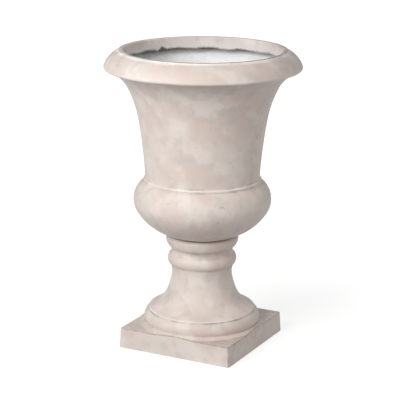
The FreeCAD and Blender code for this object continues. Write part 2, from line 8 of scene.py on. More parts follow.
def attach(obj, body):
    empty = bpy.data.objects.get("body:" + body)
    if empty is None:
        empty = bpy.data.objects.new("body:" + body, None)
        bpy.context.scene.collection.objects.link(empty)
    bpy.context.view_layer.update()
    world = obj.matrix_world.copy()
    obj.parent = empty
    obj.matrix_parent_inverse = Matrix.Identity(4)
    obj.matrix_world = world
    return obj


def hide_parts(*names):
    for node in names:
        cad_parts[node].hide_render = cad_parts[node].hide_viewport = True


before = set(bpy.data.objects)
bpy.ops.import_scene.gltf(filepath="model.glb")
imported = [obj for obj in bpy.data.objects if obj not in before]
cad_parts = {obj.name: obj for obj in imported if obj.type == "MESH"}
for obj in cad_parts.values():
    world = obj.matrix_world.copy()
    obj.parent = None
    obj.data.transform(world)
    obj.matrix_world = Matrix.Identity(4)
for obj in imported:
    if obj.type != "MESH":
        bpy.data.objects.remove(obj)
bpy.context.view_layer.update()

bl_info = {
    "name": "Footed garden urn",
    "version": (1, 0, 0),
    "blender": (4, 5, 0),
    "location": "3D View > Sidebar > Urn",
    "description": "Cast stone-look urn on a square plinth, with its laminate, fittings and stage",
    "category": "Object",
}

# Outlines are in millimetres and become metres in build_mesh. Z is the turning axis.
MILLI = 0.001

# Members from the ground up: how far each goes out, how far it rises, and how far its arc stands off
# the straight line between its ends. A negative bow is hollow.
PEDESTAL_FOOT = (147.5, 58.0)
PEDESTAL = [
    (-9.0, 31.0, 6.96),
    (-2.0, 5.5, 1.27),
    (-48.0, 48.8, -7.61),
    (-9.1, 32.4, -0.49),
    (2.6, 34.3, -2.55),
    (3.0, 28.5, 6.23),
    (1.5, 22.0, -6.11),
    (7.5, 17.0, 1.4),
    (-7.0, 11.5, 3.03),
]
BOWL_SEAT = (84.0, 290.5)
BOWL = [
    (4.0, 1.5, 0.0),
    (81.3, 62.4, 9.65),
    (-11.7, 73.5, 13.6),
    (-7.1, 3.4, 0.52),
    (-3.3, 9.5, 3.3),
    (18.5, 157.0, -2.34),
    (26.8, 78.4, -3.06),
    (52.7, 45.1, -6.94),
    (5.8, 8.8, 2.7),
    (-35.3, 37.3, 5.13),
    (-3.7, 2.6, 0.7),
]
(
    BASE,
    BULGE_LOW,
    BULGE,
    SHOULDER,
    BELL_BEAD,
    BELL_LOW,
    BELL_HIGH,
    RIM_FLARE,
    RIM_ROLL,
    RIM,
    LIP,
) = range(len(BOWL))

SHELL = 9.0
BOND = 0.3
LAMINATE = 3.0
THROAT = 18.0
LIP_FLAT = 8.0
MOUTH_ROUND = 3.0
COLLAR_DEPTH = 30.0
COLLAR_WALL = 8.0
BOLT_HOLE = 7.0
DRAIN_X = 43.0
DRAIN_HOLE = 10.0
DRAIN_WAY = 13.0
PLINTH_HALF = 159.0
PLINTH_TOP = 52.0
PLINTH_DRAFT = math.tan(math.radians(2.8))
PLINTH_CORNER = 6.0
HOLLOW_CORNER = 3.0
APRON_RADIUS = 163.0
APRON_FALL = 5.0
APRON_RISER = 0.8
CROWN_WALL = 12.0
BORE_INSET = 2.4
FOOT_HOLLOW = 15.5
FLOOR_INSET = 4.0
LIP_LINE = 3.5

# The collar's lowest line lies this far behind its face and sags this much. Its back is thinned, by a
# wave more or less that runs this many times round.
COLLAR_TIP = 3.0
COLLAR_SAG = 0.8
COLLAR_THINNING = 3.0
COLLAR_WAVE = 1.5
COLLAR_WAVES = 23

# Rows lie closer by this many times the curvature, which counts up to the sharpest bend. A groove of
# the groove's radius is darkened fully, and an edge of the edge's radius gets nearly all of its painted
# highlight.
BEND_CLOSENESS = 28
SHARPEST_BEND = 0.5
GROOVE_RADIUS = 4.0
EDGE_RADIUS = 3.2
CREASE = math.radians(38)

# Floors and the crown are flat out to here, with one more row at their edge, and this block of their
# grid gives way to the drain.
PLATE_RADII = np.array([BOLT_HOLE, 16, 26, 32, 38, 44, 50, 56, 62])
PLATE_EDGE = 74.0
DRAIN_BLOCK = (2, 8)
DRAIN_ANGLE = math.radians(36)

# Lower edge of the collar, torn where the coat ends: degrees from the back of the mouth, growing
# towards the left of the view, and millimetres below the lip. Only this part of it can be seen.
BACK = 117.29
TORN_EDGE = np.array(
    [
        (-57.5, 29), (-46, 32), (-35, 30), (-26.5, 29), (-21, 33), (-14.5, 33), (-7.5, 29), (1, 29),
        (5, 32), (13.5, 30), (22.5, 28), (28, 30), (33, 22), (36.5, 34), (39, 29), (48, 28), (56, 32),
    ],
    float,
)

TORN_SPREAD = 2.6
TORN_LIMITS = (24, 34)

# Marks on the castings: where the lip's painted shade line is darkest, in radians from the front, half the
# height of the bell's bead, how far its two painted highlight lines lie from its middle and how wide they
# are, and the reach inside which the bulge's underside gets painted shade.
LIP_DARKEST = 0.5
BEAD_HALF = 9
BEAD_LINE = 3.2
BEAD_LINE_WIDTH = 1.3
UNDER_REACH = 128
# Share of the painted highlight on the pedestal's rounded edges.
PEDESTAL_HIGHLIGHT = 0.6

# Marks on the laminate: the heights where the painted shade under the collar and the haze begin, and
# the middle and width of the smear on the left, in degrees from the back of the mouth.
COLLAR_SHADE_HEIGHT = 729.5
HAZE_HEIGHT = 702
SMEAR_MIDDLE = 40
SMEAR_WIDTH = 17

# The view: azimuth from the front, distance from the axis and height in metres, and a long lens.
VIEW_AZIMUTH = math.radians(27.29)
VIEW_DISTANCE = 3.74811
VIEW_HEIGHT = 1.38466
VIEW_PITCH = 0.2624
VIEW_YAW = math.radians(0.094)
VIEW_ROLL = math.radians(0.3314)
VIEW_LENS = 135.635
VIEW_END = 50.0
SENSOR = 36.0

# The stage: lamps look at the aim. The floor lies just under the plinth, and glows greyer close to it.
LAMP_AIM = Vector((0, 0, 0.4))
KEY_COLOUR = (1.0, 1.0, 0.995)
FILL_COLOUR = (1.0, 0.97, 0.935)
FILL_AZIMUTH = 80.0
FILL_ELEVATION = 20.0
FLOOR_RADII = np.array([0.3, 1.0, 3.0, 9.0])
FLOOR_SIDES = 96
FLOOR_GAP = 0.0005
FLOOR_BASE = (0.38, 0.38, 0.38, 1.0)
FLOOR_NEAR = (0.74, 0.74, 0.74, 1.0)
WHITE = (1.0, 1.0, 1.0, 1.0)
BLACK = (0.0, 0.0, 0.0, 1.0)


# ---------------------------------------------------------------- outlines


def corners_of(start, members):
    """Ends of the members: the start plus the running sum of their reaches and heights."""
    steps = np.array([member[:2] for member in members])
    return np.vstack([start, np.array(start) + np.cumsum(steps, axis=0)])


def round_of(member):
    """Radius of a member's arc: a square of its chord over 8 bows, plus half a bow; 0 if straight."""
    reach, height, bow = member
    if not bow:
        return 0.0
    return math.copysign((reach**2 + height**2) / (8 * abs(bow)) + abs(bow) / 2, bow)


def arc(start, end, radius, spacing=0.25):
    """Points from start to end, without the end, on an arc whose centre is left of the way walked for a
    positive radius and right of it for a negative one, or on a straight line for 0."""
    start, end = np.array(start, float), np.array(end, float)
    chord = np.hypot(*(end - start))
    count = max(2, int(chord / spacing))
    along = np.arange(count) / count
    points = start + np.outer(along, end - start)
    if radius:
        size = abs(radius)
        across = (along - 0.5) * chord
        stand = np.sqrt(size**2 - across**2) - math.sqrt(size**2 - (chord / 2) ** 2)
        right = np.array([end[1] - start[1], start[0] - end[0]]) / chord
        points += np.outer(stand * np.sign(radius), right)
    return points


def trace(stops):
    """Dense points along stops (reach, height, radius of the arc to the next stop)."""
    runs = [arc(a[:2], b[:2], a[2]) for a, b in zip(stops, stops[1:])]
    return np.vstack(runs + [[stops[-1][:2]]])


def soften(points, width, spacing=0.25):
    """The run with its creases eased: a bell-shaped average along it, the two ends kept."""
    if not width:
        return points
    half = int(4 * width / spacing)
    weights = np.exp(-0.5 * (np.arange(-half, half + 1) * spacing / width) ** 2)
    weights /= weights.sum()
    padded = np.vstack(
        [2 * points[0] - points[half:0:-1], points, 2 * points[-1] - points[-2 : -half - 2 : -1]]
    )
    return np.stack([np.convolve(padded[:, axis], weights, "valid") for axis in (0, 1)], axis=1)


def turn_of(points):
    """Signed curvature of a run, per millimetre: positive where it stands out of the material."""
    speed = np.gradient(points, axis=0)
    change = np.gradient(speed, axis=0)
    length = np.hypot(speed[:, 0], speed[:, 1])
    return (speed[:, 0] * change[:, 1] - speed[:, 1] * change[:, 0]) / length**3


def thin_out(points, count):
    """count rows of a run, closer together where it bends, how hollow each is and how much painted highlight
    it gets: a groove's darkening and a bead's painted highlight both grow with the bend."""
    steps = np.hypot(*np.diff(points, axis=0).T)
    turn = turn_of(points)
    bend = np.minimum(np.abs(turn[:-1] + turn[1:]) / 2, SHARPEST_BEND)
    travelled = np.concatenate([[0], np.cumsum(steps * (1 + BEND_CLOSENESS * bend))])
    at = np.linspace(0, travelled[-1], count)
    rows = np.stack([np.interp(at, travelled, points[:, axis]) for axis in (0, 1)], axis=1)
    hollow = np.interp(at, travelled, np.clip(-turn * GROOVE_RADIUS, 0, 1))
    painted_highlight = np.interp(at, travelled, np.clip(turn * EDGE_RADIUS - 0.1, 0, 1))
    return rows, hollow, painted_highlight


def outer_run(start, members, ease):
    """Ends of the members, and the dense outline along their arcs with its creases eased."""
    corners = corners_of(start, members)
    stops = [(*corners[k], round_of(member)) for k, member in enumerate(members)]
    return corners, soften(trace(stops + [(*corners[-1], 0)]), ease)


def bowl_inner_stops(wall):
    """Stops from the far corner of the rim's hollow down to the edge of the flat floor."""
    corners = corners_of(BOWL_SEAT, BOWL)

    def inner(radius, corner, drop=0.0):
        return corners[corner][0] - wall, corners[corner][1] - drop, radius

    def hollow(member):
        return abs(round_of(BOWL[member])) + wall

    def swell(member):
        return -(abs(round_of(BOWL[member])) - wall)

    floor = BOWL_SEAT[1] + CROWN_WALL + wall - SHELL
    far = (corners[RIM][0] - wall, corners[RIM_ROLL][1] + wall, hollow(RIM_FLARE))
    return [
        far,
        inner(hollow(BELL_HIGH), RIM_FLARE),
        inner(hollow(BELL_LOW), BELL_HIGH),
        inner(THROAT + wall, BELL_LOW),
        inner(swell(BULGE), SHOULDER, wall),
        inner(swell(BULGE_LOW), BULGE),
        (BOWL_SEAT[0] - FLOOR_INSET, floor, 0.0),
    ]


def square_reach(angles, half, corner):
    """Distance from the axis to a square with rounded corners, along each angle: half over the cosine on
    a side, and on a corner the far crossing with its circle."""
    folded = np.abs((angles + math.pi / 4) % (math.pi / 2) - math.pi / 4)
    centre = half - corner
    along, across = np.cos(folded) + np.sin(folded), np.cos(folded) - np.sin(folded)
    under = np.maximum(corner**2 - (centre * across) ** 2, 0)
    on_side = half * np.tan(folded) <= centre
    return np.where(on_side, half / np.cos(folded), centre * along + np.sqrt(under))


# ---------------------------------------------------------------- surfaces


def unevenness(angles, heights, seed):
    """From 0 to 1: a sum of slow waves round and up the piece, as a hand-finished casting has."""
    draw = np.random.default_rng(seed)
    total = np.zeros(np.broadcast(angles, heights).shape)
    for around in (1, 2, 3, 4, 5, 7, 9, 12):
        phase = draw.uniform(0, 2 * math.pi, 2)
        rise = draw.uniform(0.004, 0.03)
        share = draw.uniform(0.5, 1.0) / (1 + around / 4)
        total += share * np.sin(around * angles + phase[0]) * np.cos(rise * heights + phase[1])
    return 0.5 + 0.5 * np.tanh(total / 1.3)


def torn_depth(angles, ragged):
    """Millimetres from the lip to the torn edge at each angle: straight lines between the seen points,
    seeded ones of the same spread for the unseen rest, and a short ragged wave."""
    draw = np.random.default_rng(11)
    unseen = np.arange(64, 296, 7.5) + draw.uniform(-2, 2, 31)
    guessed = np.clip(draw.normal(COLLAR_DEPTH, TORN_SPREAD, unseen.size), *TORN_LIMITS)
    places = np.concatenate([TORN_EDGE[:, 0], unseen])
    depths = np.concatenate([TORN_EDGE[:, 1], guessed])
    from_back = np.degrees(angles) - BACK
    depth = np.interp(from_back, places, depths, period=360)
    fine = sum(
        np.sin(count * angles + draw.uniform(0, 2 * math.pi)) for count in (61, 97, 139, 173)
    )
    return depth + ragged * fine / 4


def seam_free_angles(count, squares=False):
    """Angles round the axis from -180 degrees, with one on each side of the drain's block, and more of
    them on the corners of a square."""
    angles = np.linspace(-math.pi, math.pi, count, endpoint=False)
    extra = [-DRAIN_ANGLE, DRAIN_ANGLE]
    if squares:
        near = np.radians(np.arange(-1.7, 1.71, 0.2))
        for corner in (-135, -45, 45, 135):
            extra.extend(math.radians(corner) + near)
    merged = np.sort(np.concatenate([angles, extra]))
    return merged[np.concatenate([np.diff(merged) > 1e-3, [True]])]


def build_mesh(name, reach, height, angles, plates, hole, tints):
    """A closed casting. Point (row, column) is reach times the cosine and sine of the column's angle, and
    height. Rows run round the section and columns round the axis, and both close on themselves. Between
    the two plates a round drain is let in: a block of each plate's grid gives way to rings that go from
    the block's edge to the hole's circle and down its wall."""
    rows, columns = reach.shape
    points = np.stack([reach * np.cos(angles), reach * np.sin(angles), height], axis=-1)
    index = np.arange(rows * columns).reshape(rows, columns)
    right, below = np.roll(index, -1, axis=1), np.roll(index, -1, axis=0)
    quads = np.stack([index, right, np.roll(below, -1, axis=1), below], axis=-1)

    first = int(np.argmin(np.abs(angles + DRAIN_ANGLE)))
    last = int(np.argmin(np.abs(angles - DRAIN_ANGLE)))
    keep = np.ones((rows, columns), bool)
    loops = []
    for plate_rows in plates:
        block = plate_rows[DRAIN_BLOCK[0] : DRAIN_BLOCK[1] + 1]
        keep[min(block) : max(block), first:last] = False
        across = np.arange(first, last + 1)
        loops.append(
            np.concatenate(
                [
                    index[block[0], across],
                    index[block[1:], last],
                    index[block[-1], across[-2::-1]],
                    index[block[-2:0:-1], first],
                ]
            )
        )
    flat = points.reshape(-1, 3)
    centre = np.array([DRAIN_X, 0.0])
    low, high = (flat[loop] for loop in loops)
    spoke = low[:, :2] - centre
    circle = centre + hole * spoke / np.linalg.norm(spoke, axis=1, keepdims=True)
    rings = [(low[:, :2] * (1 - t) + circle * t, low[:, 2]) for t in (0.4, 0.75, 1.0)]
    rings += [(high[:, :2] * (1 - t) + circle * t, high[:, 2]) for t in (1.0, 0.75, 0.4)]
    inserted = np.stack([np.column_stack([xy, z]) for xy, z in rings])
    count = loops[0].size
    ring_index = rows * columns + np.arange(len(rings) * count).reshape(len(rings), count)
    ladder = np.vstack([loops[0], ring_index, loops[1]])
    onward = np.roll(ladder, -1, axis=1)
    ring_quads = np.stack([ladder[:-1], onward[:-1], onward[1:], ladder[1:]], axis=-1)

    vertices = np.vstack([flat, inserted.reshape(-1, 3)])
    faces = np.vstack([quads[keep], ring_quads.reshape(-1, 4)])
    used = np.zeros(len(vertices), bool)
    used[faces] = True
    renumber = np.cumsum(used) - 1
    vertices, faces = vertices[used] * MILLI, renumber[faces]
    if not np.isfinite(vertices).all():
        raise RuntimeError(f"{name} has a point that is not a number")

    mesh = bpy.data.meshes.new(name)
    mesh.vertices.add(len(vertices))
    mesh.vertices.foreach_set("co", vertices.ravel())
    mesh.loops.add(faces.size)
    mesh.loops.foreach_set("vertex_index", faces.ravel())
    mesh.polygons.add(len(faces))
    mesh.polygons.foreach_set("loop_start", np.arange(0, faces.size, 4))
    mesh.polygons.foreach_set("use_smooth", np.ones(len(faces), bool))
    mesh.update(calc_edges=True)
    if mesh.validate():
        raise RuntimeError(f"{name} has a broken face")
    for word, values in tints.items():
        padded = np.concatenate([values.ravel(), np.zeros(inserted.shape[0] * count)])
        layer = mesh.attributes.new(word, "FLOAT", "POINT")
        layer.data.foreach_set("value", padded[used])
    mesh.set_sharp_from_angle(angle=CREASE)
    piece = bpy.data.objects.new(name, mesh)
    bpy.context.collection.objects.link(piece)
    return piece


def stack_rows(runs, columns):
    """Reach, height, how hollow each point is and how much painted highlight it gets, with the rows of all
    runs spread over the columns. A run may leave out the last two, which are then 0."""
    stacks = [], [], [], []
    for run in runs:
        count = len(run[0])
        for stack, value in zip(stacks, (*run, 0, 0)):
            column = value if np.ndim(value) == 2 else np.reshape(value, (-1, 1))
            stack.append(np.broadcast_to(column, (count, columns)))
    return [np.vstack(stack).astype(float) for stack in stacks]


def plate(height, inwards=False):
    """A flat run from the bolt hole outwards, or the other way."""
    radii = PLATE_RADII[::-1] if inwards else PLATE_RADII
    return radii, np.full(radii.size, height)


def edge_row(height):
    """The one row between a plate and the section's next bend."""
    return np.array([PLATE_EDGE]), np.array([height])


def place(piece, body, nodes, slot, material):
    """Gives a piece its material and its body, and hides the nodes of the frame that it stands for. The slot
    is not used.
    """
    piece.data.materials.append(material)
    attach(piece, body)
    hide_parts(*nodes)
    return piece


def make_bowl(sizes, colours):
    """The turned casting: underside, outer wall, lip, torn collar, rim hollow, inner wall and floor."""
    angles = seam_free_angles(440)
    corners, dense = outer_run(BOWL_SEAT, BOWL, sizes.crease_ease / MILLI)
    lip, top = corners[-1]
    mouth = lip - LIP_FLAT - MOUTH_ROUND
    outer, *marks = thin_out(dense, 104)
    land = mouth + MOUTH_ROUND
    lip_stops = [(land + LIP_LINE, top, 0), (land, top, MOUTH_ROUND), (mouth, top - MOUTH_ROUND, 0)]
    edge = trace(lip_stops)[::3]
    low = top - COLLAR_DEPTH
    face = np.linspace(0, 1, 9)[:-1]
    back = np.linspace(0, 1, 5)[1:-1]
    rim_arc = abs(round_of(BOWL[RIM])) - SHELL
    behind = (corners[LIP][0] - SHELL / 2, corners[LIP][1] - SHELL, -rim_arc)
    back_reach = mouth + COLLAR_WALL + back * (behind[0] - mouth - COLLAR_WALL)
    inner = thin_out(trace([behind] + bowl_inner_stops(SHELL)), 40)[0]
    floor = inner[-1][1]
    upper_plate = plate(floor, inwards=True)
    lower_plate = plate(BOWL_SEAT[1])
    runs = [
        lower_plate,
        edge_row(BOWL_SEAT[1]),
        (outer[:, 0], outer[:, 1], *marks),
        (edge[:, 0], edge[:, 1]),
        (np.full(face.size, mouth), top - MOUTH_ROUND - face * (COLLAR_DEPTH - MOUTH_ROUND)),
        (mouth + np.array([0, COLLAR_TIP, COLLAR_WALL]), np.array([low, low - COLLAR_SAG, low])),
        (back_reach, low + back * (behind[1] - low)),
        (inner[:, 0], inner[:, 1]),
        edge_row(floor),
        upper_plate,
    ]
    reach, height, hollow, painted_highlight = stack_rows(runs, angles.size)
    starts = np.cumsum([0] + [len(run[0]) for run in runs])
    # The lip's outer rounding gets a painted highlight.
    painted_highlight[starts[3] - 5 : starts[3] - 1] = 1
    painted_highlight[starts[3] - 1] = 0
    from_front = angles - math.radians(BACK - 180)
    # The lip's flat and its mouth rounding get a painted shade line, darkest towards the front.
    lip_shade = np.zeros_like(reach)
    lip_shade[starts[3] - 1 : starts[4] + 1] = np.clip(1.4 * np.cos(from_front - LIP_DARKEST), 0.1, 1)

    # Two painted highlight lines run along the bead with painted shade between them, and fade out on the
    # left.
    outside = (np.arange(len(reach)) < starts[3])[:, None]
    off_middle = np.abs(height - (corners[BELL_BEAD][1] + corners[BELL_LOW][1]) / 2)
    bead = outside & (off_middle < BEAD_HALF)
    fade = np.broadcast_to(np.clip(1.35 + 1.8 * np.sin(from_front), 0.3, 1), reach.shape)
    two_lines = np.exp(-(((off_middle - BEAD_LINE) / BEAD_LINE_WIDTH) ** 2))
    painted_highlight[bead] = (two_lines * fade)[bead]
    hollow[bead] = (np.maximum(hollow * 0.6, np.exp(-(off_middle**2))) * fade)[bead]
    # The bulge's underside gets painted shade near the seat.
    under = slice(starts[1], starts[3])
    near_seat = np.clip((UNDER_REACH - reach[under]) / 40, 0, 1)
    hollow[under] = np.maximum(hollow[under], near_seat * 0.55)

    wave = unevenness(angles, height, 3)
    skin = np.zeros(len(reach))
    skin[starts[2] + 3 : starts[3] - 2] = 1
    reach -= wave * skin[:, None] * sizes.unevenness / MILLI

    collar = slice(starts[4], starts[7])
    share = np.concatenate([face, [1, 1, 1], 1 - back])[:, None]
    torn = torn_depth(angles, sizes.ragged / MILLI)
    height[collar] -= share * (torn - COLLAR_DEPTH)
    reach[starts[6] - 1] -= COLLAR_THINNING + COLLAR_WAVE * np.sin(COLLAR_WAVES * angles)
    paste = np.zeros_like(reach)
    paste[collar] = share
    plates = (np.arange(starts[0], starts[1]), np.arange(starts[9], starts[10])[::-1])
    tints = {"hollow": hollow, "painted_highlight": painted_highlight, "torn": paste, "edge": lip_shade}
    piece = build_mesh("bowl_casting", reach, height, angles, plates, DRAIN_HOLE, tints)
    return place(piece, "urn", ["bowl_shell"], "stone_coat", stone(colours))


def make_lining(sizes, colours):
    """The laminate inside the bowl: a thin wall that follows the casting's inside, lumpy inwards, with
    painted shade along its top and a smear on the left."""
    angles = seam_free_angles(400)
    outside = bowl_inner_stops(SHELL + BOND)
    inside = bowl_inner_stops(SHELL + BOND + LAMINATE)
    up = thin_out(trace(outside)[::-1], 46)[0]
    down = thin_out(trace(inside), 96)[0]
    low, floor = outside[-1][1], inside[-1][1]
    runs = [
        plate(low),
        edge_row(low),
        (up[:, 0], up[:, 1]),
        (down[:, 0], down[:, 1]),
        edge_row(floor),
        plate(floor, inwards=True),
    ]
    reach, height, *_ = stack_rows(runs, angles.size)
    starts = np.cumsum([0] + [len(run[0]) for run in runs])
    skin = np.zeros(len(reach))
    inner = np.arange(starts[3], starts[4])
    skin[inner] = np.clip((inner - starts[3]) / 6, 0, 1) * np.clip((starts[4] - 1 - inner) / 12, 0, 1)
    lumps = 0.65 * unevenness(angles, height, 5) + 0.35 * unevenness(angles * 5, height * 6, 8)
    reach -= lumps * skin[:, None] * sizes.laminate_lumps / MILLI

    from_back = (np.degrees(angles) - BACK + 180) % 360 - 180
    smear = np.exp(-(((from_back - SMEAR_MIDDLE) / SMEAR_WIDTH) ** 2))
    within = (np.arange(len(reach)) >= starts[3])[:, None]
    # Painted shade along the laminate's top, under the collar, reaching lower in the smear.
    collar_shade = np.clip((height - COLLAR_SHADE_HEIGHT + 3 * smear) / 4, 0, 1) * within
    haze = smear * np.clip((height - HAZE_HEIGHT) / 16, 0, 1) * within
    plates = (np.arange(starts[0], starts[1]), np.arange(starts[5], starts[6])[::-1])
    tints = {"collar_shade": collar_shade, "haze": haze}
    piece = build_mesh("bowl_laminate", reach, height, angles, plates, DRAIN_HOLE, tints)
    return place(piece, "urn", ["bowl_lining"], "laminate", laminate(colours))


def apron_height(radii):
    """Height of the plinth's top: a shallow cone out to the apron's edge, a small riser, then flat."""
    fall = APRON_FALL * (radii - PEDESTAL_FOOT[0]) / (APRON_RADIUS - PEDESTAL_FOOT[0])
    cone = PEDESTAL_FOOT[1] - fall
    past = np.clip((radii - APRON_RADIUS) / APRON_RISER + 0.5, 0, 1)
    return cone * (1 - past) + PLINTH_TOP * past


def make_pedestal(sizes, colours):
    """The lower casting: crown underside, bore, plinth hollow, square sides, apron, ring and stem."""
    angles = seam_free_angles(352, squares=True)
    corners, dense = outer_run(PEDESTAL_FOOT, PEDESTAL, sizes.crease_ease / MILLI)
    crown = corners[-1][1]
    vault = crown - CROWN_WALL
    flare, waist, stem = corners[3], corners[4], corners[5]
    bore = waist[0] - BORE_INSET - SHELL
    foot, ring = corners[2], corners[0]
    inside = [
        (bore, vault, 0),
        (bore, stem[1], 0),
        (waist[0] - SHELL, waist[1], abs(round_of(PEDESTAL[3])) + SHELL),
        (flare[0] - SHELL, flare[1], abs(round_of(PEDESTAL[2])) + SHELL),
        (foot[0] - SHELL, foot[1] - SHELL, 0),
        (ring[0] - SHELL, ring[1] + FOOT_HOLLOW, 0),
        (ring[0] - SHELL, PLINTH_TOP - SHELL, 0),
    ]
    down = thin_out(trace(inside), 30)[0]
    outer, *marks = thin_out(dense, 100)

    def side(height, inset=0.0, corner=PLINTH_CORNER):
        """Distance to the plinth's leaning side at each angle, for each height."""
        half = PLINTH_HALF - inset - np.asarray(height, float) * PLINTH_DRAFT
        return square_reach(angles, half, corner)

    cavity = np.linspace(PLINTH_TOP - SHELL, 0, 4)
    cavity_reach = np.stack([side(level, SHELL, HOLLOW_CORNER) for level in cavity])
    shelf = ring[0] - SHELL + np.outer((0.35, 0.7), cavity_reach[0] - (ring[0] - SHELL))

    rounding = sizes.edge_round / MILLI
    brim = side(PLINTH_TOP)
    top_height = apron_height(brim)
    brim = side(top_height)
    top_height = apron_height(brim - rounding)
    shares = np.array([0.0, 0.06, 0.2, 0.4, 0.6, 0.8, 0.955, 1.0])
    wall_height = np.outer(shares, top_height - rounding)
    wall_height[0] = rounding
    wall = np.stack([side(level) for level in wall_height])
    under = np.stack([side(0) - rounding, side(0) - 0.3 * rounding])
    under_height = np.array([0, 0.3 * rounding])
    bevel = np.stack([brim - 0.3 * rounding, brim - rounding])
    bevel_height = np.stack([top_height - 0.3 * rounding, top_height])
    step = np.minimum(APRON_RADIUS + 0.7, brim - rounding - 2.0)
    flat_share = np.array([0.0, 0.06, 0.35, 0.7, 1.0])[1:, None]
    flat_part = (brim - rounding) * (1 - flat_share) + step * flat_share
    riser = step - np.array([0.35, 0.7, 1.05, 1.4])[:, None]
    cone_share = np.array([0.2, 0.4, 0.6, 0.78, 0.9, 0.97])[:, None]
    cone_part = riser[-1] * (1 - cone_share) + PEDESTAL_FOOT[0] * cone_share
    top_part = np.vstack([flat_part, riser, cone_part])
    runs = [
        plate(vault),
        (down[:, 0], down[:, 1]),
        (shelf, np.full(2, PLINTH_TOP - SHELL)),
        (cavity_reach, cavity),
        (under, under_height),
        (wall, wall_height),
        (bevel, bevel_height),
        (top_part, apron_height(top_part)),
        (outer[:, 0], outer[:, 1], *marks),
        edge_row(crown),
        plate(crown, inwards=True),
    ]
    reach, height, hollow, painted_highlight = stack_rows(runs, angles.size)
    starts = np.cumsum([0] + [len(run[0]) for run in runs])

    wave = unevenness(angles, height, 9)
    skin = np.zeros(len(reach))
    skin[starts[5] + 1 : starts[9] - 3] = 1
    reach -= wave * skin[:, None] * sizes.unevenness / MILLI

    edge = np.zeros_like(reach)
    edge[starts[6] - 1 : starts[7]] = 1
    turn = (np.degrees(angles) + 45) % 90
    edge[starts[5] : starts[6]] += np.clip(1.3 - np.minimum(turn, 90 - turn) / 0.45, 0, 1)
    edge = np.clip(edge, 0, 1)
    top = slice(starts[7], starts[8])
    foot_line = np.clip(1 - np.abs(reach[top] - PEDESTAL_FOOT[0]) / 2.0, 0, 1)
    # The apron's riser gets a painted shade line and the plinth's corner a painted shade patch, both
    # strongest at the front corner.
    front = np.clip(1.6 - np.abs(np.degrees(angles) + 45) / 40, 0.1, 1)
    apron_shade_line = np.clip(1.2 - np.abs(reach[top] - APRON_RADIUS - 0.3) / 1.1, 0, 1) * front
    corner_shade = np.clip((reach[top] - APRON_RADIUS) / 2, 0, 1) * 0.45 * front
    hollow[top] = foot_line * 0.7
    edge[top] = np.maximum(edge[top], np.maximum(apron_shade_line * 0.9, corner_shade))

    plates = (np.arange(starts[0], starts[1]), np.arange(starts[10], starts[11])[::-1])
    tints = {"hollow": hollow, "painted_highlight": painted_highlight * PEDESTAL_HIGHLIGHT, "torn": np.zeros_like(reach), "edge": edge}
    piece = build_mesh("pedestal_casting", reach, height, angles, plates, DRAIN_WAY, tints)
    return place(piece, "urn", ["pedestal_shell"], "stone_coat", stone(colours))


# ---------------------------------------------------------------- materials


class Shade:
    """One shader socket, so that maths on sockets reads as plain maths."""

    def __init__(self, painter, socket):
        self.painter = painter
        self.socket = socket

    def _maths(self, operation, first, second):
        return self.painter.node("ShaderNodeMath", {"operation": operation}, {0: first, 1: second})

    def __add__(self, other):
        return self._maths("ADD", self, other)

    __radd__ = __add__

    def __mul__(self, other):
        return self._maths("MULTIPLY", self, other)

    __rmul__ = __mul__

    def __sub__(self, other):
        return self._maths("SUBTRACT", self, other)

    def __rsub__(self, other):
        return self._maths("SUBTRACT", other, self)

    def larger(self, other):
        return self._maths("MAXIMUM", self, other)


class Painter:
    """A material, its shader and the nodes that feed it."""

    def __init__(self, name):
        self.material = bpy.data.materials.new(name)
        self.material.use_nodes = True
        self.tree = self.material.node_tree
        self.shader = self.tree.nodes["Principled BSDF"]
        self.place = self.node("ShaderNodeTexCoord", {}, {}, "Object")

    def node(self, kind, settings, inputs, output=0):
        """Adds a node: its settings first, then values or links on its sockets. Gives one output."""
        node = self.tree.nodes.new(kind)
        for word, value in settings.items():
            setattr(node, word, value)
        for socket, value in inputs.items():
            if isinstance(value, Shade):
                self.tree.links.new(value.socket, node.inputs[socket])
            else:
                node.inputs[socket].default_value = value
        return Shade(self, node.outputs[output])

    def noise(self, scale, detail, roughness=0.5, distortion=0.0):
        """Clouds from 0 to 1, with the scale in repeats per metre."""
        inputs = {
            "Vector": self.place,
            "Scale": scale,
            "Detail": detail,
            "Roughness": roughness,
            "Distortion": distortion,
        }
        return self.node("ShaderNodeTexNoise", {}, inputs)

    def cells(self, scale):
        """Distance to the nearest of scattered points, with the scale in cells per metre."""
        inputs = {"Vector": self.place, "Scale": scale}
        return self.node("ShaderNodeTexVoronoi", {"feature": "F1"}, inputs, "Distance")

    def ramp(self, value, low, high, start=0.0, end=1.0):
        """Smooth step of a value from low to high, onto start to end."""
        inputs = {"Value": value, "From Min": low, "From Max": high, "To Min": start, "To Max": end}
        return self.node("ShaderNodeMapRange", {"interpolation_type": "SMOOTHSTEP"}, inputs)

    def mix(self, factor, first, second):
        """From the first colour at a factor of 0 to the second at 1."""
        settings = {"data_type": "RGBA", "blend_type": "MIX"}
        return self.node("ShaderNodeMix", settings, {0: factor, 6: first, 7: second}, 2)

    def tint(self, word):
        """A number that the mesh carries at each of its points."""
        return self.node("ShaderNodeAttribute", {"attribute_name": word}, {}, "Fac")

    def bend_of(self, height, distance, strength):
        """The normal, bent by a height that stands for this distance in metres."""
        inputs = {"Height": height, "Distance": distance, "Strength": strength}
        return self.node("ShaderNodeBump", {}, inputs, "Normal")

    def finish(self, **sockets):
        """Feeds the shader's sockets, named with underscores for spaces, and gives the material."""
        for word, value in sockets.items():
            socket = self.shader.inputs[word.replace("_", " ")]
            if isinstance(value, Shade):
                self.tree.links.new(value.socket, socket)
            else:
                socket.default_value = value
        return self.material


def rgba(colour):
    return (*tuple(colour)[:3], 1.0)


